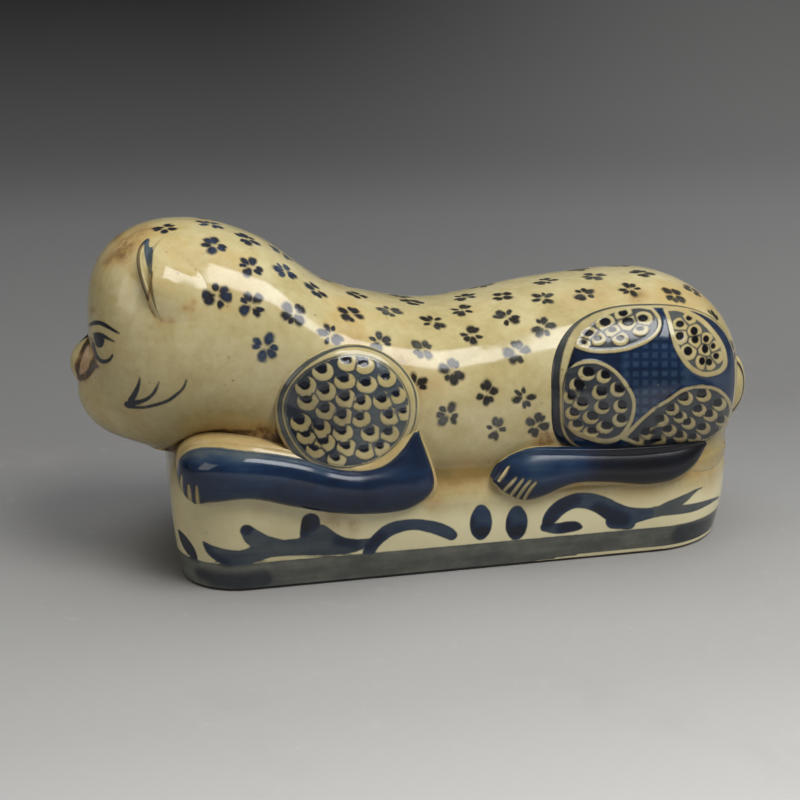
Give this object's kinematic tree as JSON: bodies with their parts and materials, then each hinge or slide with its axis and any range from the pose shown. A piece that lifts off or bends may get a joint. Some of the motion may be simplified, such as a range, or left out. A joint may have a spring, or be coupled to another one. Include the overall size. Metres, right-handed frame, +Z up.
{
  "type": "ceramic animal pillow",
  "caption": "Hollow glazed stoneware headrest in the form of a reclining spotted animal on a plinth, with a dipped back that supports the neck.",
  "frame": {"origin": "on the table, under the middle of the length from nose to tail", "axes": "the animal faces -X, its left side faces -Y, +Z is up"},
  "size_m": [0.31, 0.1264, 0.1455],
  "materials": {
    "glaze": "gloss",
    "cobalt": "gloss",
    "scales": "gloss",
    "biscuit": "matt"
  },
  "bodies": {
    "root": {"floor_slab": "biscuit", "plinth": "glaze", "trunk": "glaze", "head": "glaze", "nose": "biscuit", "left_ear": "glaze", "right_ear": "glaze", "left_shoulder": "scales", "right_shoulder": "scales", "left_foreleg": "cobalt", "right_foreleg": "cobalt", "left_haunch": "scales", "right_haunch": "scales", "left_hind_foot": "cobalt", "right_hind_foot": "cobalt", "tail": "glaze"}
  },
  "joints": []
}
